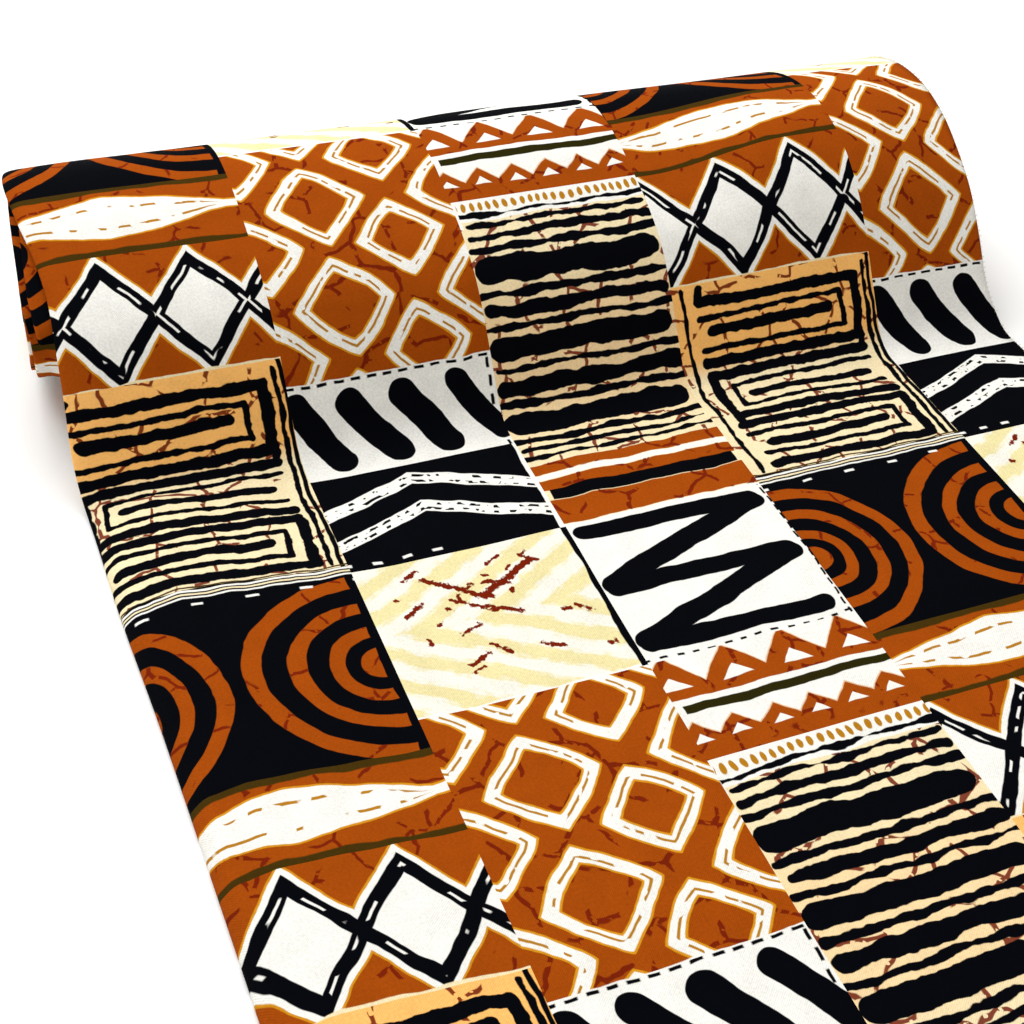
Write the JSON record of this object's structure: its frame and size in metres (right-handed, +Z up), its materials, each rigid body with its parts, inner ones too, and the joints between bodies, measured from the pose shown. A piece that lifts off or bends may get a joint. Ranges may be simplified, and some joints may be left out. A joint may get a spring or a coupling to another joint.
{
  "type": "bolt of ankara print fabric, doubled and wound, with a drawn length",
  "caption": "Bolt of patchwork-print cotton, doubled lengthwise and wound into a soft roll, with a length drawn off over its front to lie flat.",
  "frame": {"origin": "centre of the bounding box, at the surface that the cloth lies on", "axes": "+Z up, +Y from the cut end towards the roll, +X along the roll from the fold towards the selvages"},
  "size_m": [0.614, 0.7071, 0.116],
  "materials": {
    "printed_cotton": "matt printed cotton"
  },
  "bodies": {
    "root": {"wound_cloth": "printed_cotton"}
  },
  "joints": []
}
